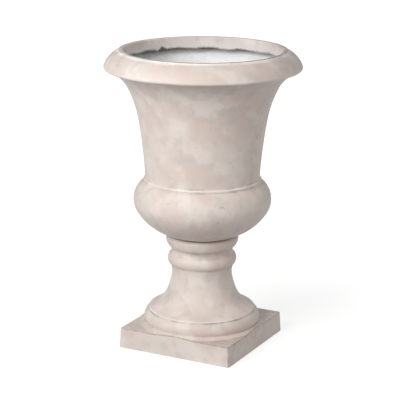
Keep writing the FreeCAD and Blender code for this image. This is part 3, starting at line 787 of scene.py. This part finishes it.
def stone(colours):
    """Stone-look coat: clouded beige with cream, pink and grey, pits, hair cracks, darkened hollows, painted
    shade and painted highlights.
    """
    if "weathered_coat" in bpy.data.materials:
        return bpy.data.materials["weathered_coat"]
    paint = Painter("weathered_coat")
    cloud = paint.noise(9.0, 3.0, 0.5, 0.2)
    blotch = paint.noise(17.0, 3.5, 0.5, 0.2)
    veil = paint.noise(26.0, 3.0, 0.5, 0.3)
    grain = paint.noise(240.0, 4.0, 0.6)
    colour = paint.mix(paint.ramp(cloud, 0.38, 0.62), rgba(colours.stone), rgba(colours.stone_pink))
    colour = paint.mix(paint.ramp(blotch, 0.46, 0.64) * 0.55, colour, rgba(colours.stone_cream))
    colour = paint.mix(paint.ramp(veil, 0.5, 0.66) * 0.5, colour, rgba(colours.stone_grey))
    colour = paint.mix(paint.ramp(grain, 0.35, 0.7, 0.0, 0.12), colour, rgba(colours.stone_grey))

    torn = paint.tint("torn")
    colour = paint.mix(paint.ramp(torn, 0.12, 0.75) * 0.8, colour, rgba(colours.paste))
    # Painted highlight on the beads, the lip and other rounded edges, broken up by the blotches.
    highlight_breakup = paint.ramp(blotch, 0.35, 0.6, 0.4, 0.9)
    colour = paint.mix(paint.tint("painted_highlight") * highlight_breakup, colour, rgba(colours.painted_highlight))

    pits = paint.ramp(paint.cells(170.0), 0.08, 0.24, 1.0, 0.0)
    pits = pits * paint.ramp(paint.noise(24.0, 2.0), 0.6, 0.7)
    wander = paint.noise(15.0, 3.0, 0.55)
    off_line = (wander - 0.5).larger(0.5 - wander)
    cracks = paint.ramp(off_line, 0.001, 0.006, 1.0, 0.0) * paint.ramp(paint.noise(27.0, 1.0), 0.64, 0.7)

    # Darkening in grooves and along edges, with painted shade on the lip, bead, apron, plinth corner and the
    # bulge's underside.
    broken = paint.ramp(paint.noise(13.0, 5.0, 0.7), 0.46, 0.6, 0.04, 1.0)
    edge_breakup = paint.ramp(paint.noise(50.0, 4.0, 0.65), 0.35, 0.62, 0.35, 1.0)
    dirt_and_shade = (paint.tint("hollow") * broken).larger(paint.tint("edge") * edge_breakup)
    colour = paint.mix(dirt_and_shade * colours.dirt_and_shade_strength, colour, rgba(colours.dirt_and_shade))
    colour = paint.mix(pits * 0.28, colour, rgba(colours.dirt_and_shade))
    colour = paint.mix(cracks * 0.3, colour, rgba(colours.dirt_and_shade))
    fray = paint.noise(75.0, 4.0, 0.65)
    ragged = paint.ramp(torn + fray * 0.35, 1.02, 1.12)
    colour = paint.mix(ragged * 0.7, colour, rgba(colours.torn))

    height = cloud * 0.4 + blotch * 0.5 + grain * 0.12 - pits * 0.25 - cracks * 0.2
    normal = paint.bend_of(height + ragged * fray * 1.5, 0.0012, 0.75)
    roughness = paint.ramp(blotch, 0.3, 0.7, 0.47, 0.62)
    return paint.finish(Base_Color=colour, Roughness=roughness, Normal=normal, Specular_IOR_Level=0.4)


def laminate(colours):
    """Raw glass-fibre laminate: pale, with a web of strands, resin pools and a dusty tinge."""
    if "raw_laminate" in bpy.data.materials:
        return bpy.data.materials["raw_laminate"]
    paint = Painter("raw_laminate")
    strands = paint.noise(40.0, 5.0, 0.6, 1.2)
    pools = paint.noise(9.0, 4.0, 0.6, 0.5)
    fleece = paint.cells(120.0)
    fray = paint.noise(70.0, 4.0, 0.65)
    webbed = paint.ramp(strands, 0.4, 0.65)
    colour = paint.mix(webbed, rgba(colours.laminate), rgba(colours.laminate_pale))
    colour = paint.mix(paint.ramp(pools, 0.52, 0.75) * 0.4, colour, rgba(colours.laminate_grey))
    smeared = paint.tint("haze") * paint.ramp(fray, 0.4, 0.6, 0.2, 0.6)
    colour = paint.mix(smeared, colour, rgba(colours.haze))
    # Painted shade along the top, under the collar, with a ragged lower edge.
    collar_shade = paint.ramp(paint.tint("collar_shade") + fray * 1.4, 1.0, 1.3)
    colour = paint.mix(collar_shade * 0.45, colour, rgba(colours.torn))
    height = strands * 0.4 + fleece * 0.15 + pools * 0.6 + collar_shade * 0.4
    roughness = paint.ramp(pools, 0.35, 0.65, 0.62, 0.45)
    return paint.finish(Base_Color=colour, Roughness=roughness, Normal=paint.bend_of(height, 0.0018, 0.8))


def rubber(colours):
    """Matt black rubber with a fine grain and paler dust."""
    paint = Painter("grained_rubber")
    grain = paint.noise(700.0, 3.0, 0.6)
    dust = paint.ramp(paint.noise(60.0, 5.0, 0.65), 0.5, 0.75)
    colour = paint.mix(dust * 0.35, rgba(colours.rubber), rgba(colours.rubber_dust))
    roughness = paint.ramp(grain, 0.3, 0.7, 0.6, 0.82)
    return paint.finish(Base_Color=colour, Roughness=roughness, Normal=paint.bend_of(grain, 0.0001, 0.6))


def steel(colours):
    """Zinc-plated steel with a faint spangle and dull patches."""
    paint = Painter("plated_steel")
    spangle = paint.cells(260.0)
    patches = paint.noise(90.0, 5.0, 0.6)
    colour = paint.mix(paint.ramp(patches, 0.4, 0.65), rgba(colours.steel), rgba(colours.steel_dull))
    roughness = paint.ramp(patches, 0.35, 0.7, 0.28, 0.5) + spangle * 0.05
    normal = paint.bend_of(patches + spangle * 0.3, 0.00008, 0.5)
    return paint.finish(Base_Color=colour, Roughness=roughness, Metallic=1.0, Normal=normal)


def cover(node, material):
    """Gives a node of the frame its material, on every slot that it has."""
    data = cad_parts[node].data
    if not data.materials:
        data.materials.append(material)
    for slot in range(len(data.materials)):
        data.materials[slot] = material


# ---------------------------------------------------------------- stage


def camera_matrix():
    """Right, up and backward axes of the view, turned by its yaw, pitch and roll, and its place."""
    azimuth = VIEW_AZIMUTH
    place = Vector((math.sin(azimuth) * VIEW_DISTANCE, -math.cos(azimuth) * VIEW_DISTANCE, VIEW_HEIGHT))
    heading = azimuth + VIEW_YAW
    forward = Vector(
        (
            -math.sin(heading) * math.cos(VIEW_PITCH),
            math.cos(heading) * math.cos(VIEW_PITCH),
            -math.sin(VIEW_PITCH),
        )
    )
    level = Vector((math.cos(heading), math.sin(heading), 0))
    upright = level.cross(forward)
    right = level * math.cos(VIEW_ROLL) + upright * math.sin(VIEW_ROLL)
    up = upright * math.cos(VIEW_ROLL) - level * math.sin(VIEW_ROLL)
    axes = Matrix((right, up, -forward)).transposed().to_4x4()
    return Matrix.Translation(place) @ axes


def add_lamp(name, azimuth, elevation, distance, size, power, colour):
    """A square area lamp that looks at the middle of the urn. Azimuth 0 is in front, on -Y."""
    turn, lift = math.radians(azimuth), math.radians(elevation)
    away = Vector((math.sin(turn) * math.cos(lift), -math.cos(turn) * math.cos(lift), math.sin(lift)))
    data = bpy.data.lights.new(name, "AREA")
    data.size = size
    data.energy = power
    data.color = colour
    lamp = bpy.data.objects.new(name, data)
    lamp.location = LAMP_AIM + away * distance
    lamp.rotation_euler = away.to_track_quat("Z", "Y").to_euler()
    bpy.context.collection.objects.link(lamp)


def make_floor():
    """A flat round floor: point (ring, side) is the ring's radius times the cosine and sine of the side's
    angle, and one face fills the first ring."""
    angles = np.linspace(0, 2 * math.pi, FLOOR_SIDES, endpoint=False)
    radii = FLOOR_RADII[:, None]
    depth = np.full((radii.size, FLOOR_SIDES), -FLOOR_GAP)
    rings = np.stack([radii * np.cos(angles), radii * np.sin(angles), depth], axis=-1)
    index = np.arange(depth.size).reshape(depth.shape)
    onward = np.roll(index, -1, axis=1)
    quads = np.stack([index[:-1], index[1:], onward[1:], onward[:-1]], axis=-1).reshape(-1, 4)
    mesh = bpy.data.meshes.new("floor")
    mesh.from_pydata(rings.reshape(-1, 3).tolist(), [], quads.tolist() + [index[0].tolist()])
    mesh.update()
    floor = bpy.data.objects.new("floor", mesh)
    bpy.context.collection.objects.link(floor)
    return floor


def make_stage(setup):
    """Camera, two soft lamps, a pale floor and a world that the camera sees as white."""
    scene = bpy.context.scene
    data = bpy.data.cameras.new("view")
    data.sensor_width = SENSOR
    data.lens = VIEW_LENS
    data.clip_end = VIEW_END
    camera = bpy.data.objects.new("view", data)
    bpy.context.collection.objects.link(camera)
    camera.matrix_world = camera_matrix()
    scene.camera = camera

    key = (setup.key_azimuth, setup.key_elevation)
    fill = (FILL_AZIMUTH, FILL_ELEVATION)
    add_lamp("key", *key, distance=3.0, size=1.7, power=setup.key_power, colour=KEY_COLOUR)
    add_lamp("fill", *fill, distance=3.2, size=2.4, power=setup.fill_power, colour=FILL_COLOUR)

    world = bpy.data.worlds.new("surround")
    world.use_nodes = True
    scene.world = world
    tree = world.node_tree
    background = tree.nodes["Background"]
    path = tree.nodes.new("ShaderNodeLightPath")
    seen = tree.nodes.new("ShaderNodeMath")
    seen.operation = "MAXIMUM"
    tree.links.new(path.outputs["Is Camera Ray"], seen.inputs[0])
    tree.links.new(path.outputs["Is Transmission Ray"], seen.inputs[1])
    level = tree.nodes.new("ShaderNodeMapRange")
    level.inputs["To Min"].default_value = setup.surround
    level.inputs["To Max"].default_value = 1.0
    tree.links.new(seen.outputs[0], level.inputs["Value"])
    tree.links.new(level.outputs["Result"], background.inputs["Strength"])
    background.inputs["Color"].default_value = WHITE

    floor = make_floor()
    paint = Painter("pale_floor")
    rays = paint.node("ShaderNodeLightPath", {}, {}, "Is Camera Ray").larger(
        paint.node("ShaderNodeLightPath", {}, {}, "Is Glossy Ray")
    )
    away = paint.node("ShaderNodeVectorMath", {"operation": "LENGTH"}, {0: paint.place}, "Value")
    pale = paint.mix(paint.ramp(away, 0.3, 1.3), FLOOR_NEAR, WHITE)
    glow = paint.mix(rays, BLACK, pale)
    material = paint.finish(
        Base_Color=FLOOR_BASE, Roughness=0.95, Emission_Color=glow, Emission_Strength=1.0
    )
    floor.data.materials.append(material)
    scene.view_settings.view_transform = "Standard"


# ---------------------------------------------------------------- settings


def length_setting(name, description, default, high):
    return bpy.props.FloatProperty(
        name=name, description=description, default=default, min=0.0, max=high, unit="LENGTH", precision=5
    )


def colour_setting(name, description, default):
    return bpy.props.FloatVectorProperty(
        name=name, description=description, default=default, min=0.0, max=1.0, size=3, subtype="COLOR"
    )


class UrnSizes(bpy.types.PropertyGroup):
    unevenness: length_setting("Unevenness", "Depth of the slow waves in the castings", 0.0007, 0.003)
    crease_ease: length_setting("Crease softness", "How far the casting's creases are eased", 0.0008, 0.004)
    edge_round: length_setting("Edge rounding", "Rounding of the plinth's edges", 0.0012, 0.004)
    ragged: length_setting("Ragged edge", "Height of the short waves on the torn collar edge", 0.0011, 0.004)
    laminate_lumps: length_setting("Laminate lumps", "Height of the lumps on the laminate", 0.0016, 0.003)


class UrnColours(bpy.types.PropertyGroup):
    stone: colour_setting("Stone", "Main colour of the coat", (0.72, 0.638, 0.585))
    stone_pink: colour_setting("Stone, pink", "Pinkish clouds in the coat", (0.68, 0.567, 0.518))
    stone_cream: colour_setting("Stone, cream", "Cream clouds in the coat", (0.82, 0.762, 0.712))
    stone_grey: colour_setting("Stone, grey", "Grey clouds in the coat", (0.56, 0.518, 0.487))
    paste: colour_setting("Collar paste", "Greyer coat inside the mouth", (0.68, 0.655, 0.64))
    # Colour of the painted highlight on the beads and the lip.
    painted_highlight: colour_setting("Painted highlight", "Painted highlight on the beads and the lip", (0.92, 0.88, 0.845))
    # Colour of darkened grooves and edges, pits, cracks and painted shade.
    dirt_and_shade: colour_setting("Dirt", "Colour of grooves, pits and edges", (0.15, 0.115, 0.095))
    dirt_and_shade_strength: bpy.props.FloatProperty(
        name="Dirt strength", description="How dark grooves and edges are", default=0.6, min=0.0, max=1.0
    )
    # Also the colour of the painted shade along the laminate's top.
    torn: colour_setting("Torn edge", "Grimy edge where the collar's coat ends", (0.23, 0.245, 0.235))
    laminate: colour_setting("Laminate", "Raw laminate", (0.85, 0.865, 0.865))
    laminate_pale: colour_setting("Laminate, pale", "Strands in the laminate", (0.92, 0.935, 0.935))
    laminate_grey: colour_setting("Laminate, grey", "Dusty pools in the laminate", (0.70, 0.72, 0.70))
    haze: colour_setting("Laminate, smeared", "Grey smear under the torn edge", (0.60, 0.61, 0.57))
    rubber: colour_setting("Rubber", "Rubber parts", (0.028, 0.027, 0.026))
    rubber_dust: colour_setting("Rubber, dusty", "Dust on the rubber", (0.16, 0.15, 0.14))
    steel: colour_setting("Steel", "Plated steel", (0.62, 0.62, 0.60))
    steel_dull: colour_setting("Steel, dull", "Dull patches on the steel", (0.42, 0.42, 0.41))


class UrnStage(bpy.types.PropertyGroup):
    key_azimuth: bpy.props.FloatProperty(
        name="Key azimuth", description="Degrees from the front, growing to the right", default=-14.0
    )
    key_elevation: bpy.props.FloatProperty(
        name="Key elevation", description="Degrees above level", default=30.0, min=0.0, max=90.0
    )
    key_power: bpy.props.FloatProperty(
        name="Key power", description="Power of the key lamp", default=71.0, min=0.0, unit="POWER"
    )
    fill_power: bpy.props.FloatProperty(
        name="Fill power", description="Power of the fill lamp", default=19.0, min=0.0, unit="POWER"
    )
    surround: bpy.props.FloatProperty(
        name="Surround", description="Light that comes from all round", default=0.38, min=0.0, max=1.0
    )


# ---------------------------------------------------------------- operators


class URN_OT_make_bowl(bpy.types.Operator):
    """Build the upper casting with its rolled rim and torn collar"""

    bl_idname = "urn.make_bowl"
    bl_label = "Bowl casting"

    def execute(self, context):
        make_bowl(context.scene.urn_sizes, context.scene.urn_colours)
        return {"FINISHED"}


class URN_OT_make_lining(bpy.types.Operator):
    """Build the raw laminate inside the bowl and finish the pedestal's"""

    bl_idname = "urn.make_lining"
    bl_label = "Laminate"

    def execute(self, context):
        make_lining(context.scene.urn_sizes, context.scene.urn_colours)
        cover("pedestal_lining", laminate(context.scene.urn_colours))
        return {"FINISHED"}


class URN_OT_make_pedestal(bpy.types.Operator):
    """Build the lower casting with its stem, foot and square plinth"""

    bl_idname = "urn.make_pedestal"
    bl_label = "Pedestal casting"

    def execute(self, context):
        make_pedestal(context.scene.urn_sizes, context.scene.urn_colours)
        return {"FINISHED"}


class URN_OT_finish_rubber(bpy.types.Operator):
    """Finish the bedding, the rubber washer and the drain plug"""

    bl_idname = "urn.finish_rubber"
    bl_label = "Rubber parts"

    def execute(self, context):
        material = rubber(context.scene.urn_colours)
        for node in ("seat_gasket", "seal_washer", "drain_plug"):
            cover(node, material)
        return {"FINISHED"}


class URN_OT_finish_steel(bpy.types.Operator):
    """Finish the bolt, its nut and both steel washers"""

    bl_idname = "urn.finish_steel"
    bl_label = "Steel parts"

    def execute(self, context):
        material = steel(context.scene.urn_colours)
        for node in ("tie_bolt", "tie_nut", "bolt_washer", "crown_washer"):
            cover(node, material)
        return {"FINISHED"}


class URN_OT_make_stage(bpy.types.Operator):
    """Set up the camera, lamps, floor and surround"""

    bl_idname = "urn.make_stage"
    bl_label = "Stage"

    def execute(self, context):
        make_stage(context.scene.urn_stage)
        return {"FINISHED"}


OPERATORS = (
    URN_OT_make_bowl,
    URN_OT_make_lining,
    URN_OT_make_pedestal,
    URN_OT_finish_rubber,
    URN_OT_finish_steel,
    URN_OT_make_stage,
)


class URN_PT_pieces(bpy.types.Panel):
    bl_label = "Urn"
    bl_idname = "URN_PT_pieces"
    bl_space_type = "VIEW_3D"
    bl_region_type = "UI"
    bl_category = "Urn"

    def draw(self, context):
        for operator in OPERATORS:
            self.layout.operator(operator.bl_idname)
        for group in ("urn_sizes", "urn_colours", "urn_stage"):
            settings = getattr(context.scene, group)
            box = self.layout.box()
            for word in settings.__annotations__:
                box.prop(settings, word)


CLASSES = (UrnSizes, UrnColours, UrnStage, *OPERATORS, URN_PT_pieces)


def register():
    for item in CLASSES:
        bpy.utils.register_class(item)
    bpy.types.Scene.urn_sizes = bpy.props.PointerProperty(type=UrnSizes)
    bpy.types.Scene.urn_colours = bpy.props.PointerProperty(type=UrnColours)
    bpy.types.Scene.urn_stage = bpy.props.PointerProperty(type=UrnStage)


def unregister():
    del bpy.types.Scene.urn_stage
    del bpy.types.Scene.urn_colours
    del bpy.types.Scene.urn_sizes
    for item in reversed(CLASSES):
        bpy.utils.unregister_class(item)


def main():
    register()
    bpy.ops.urn.make_bowl()
    bpy.ops.urn.make_lining()
    bpy.ops.urn.make_pedestal()
    bpy.ops.urn.finish_rubber()
    bpy.ops.urn.finish_steel()
    bpy.ops.urn.make_stage()


if __name__ == "__main__":
    main()
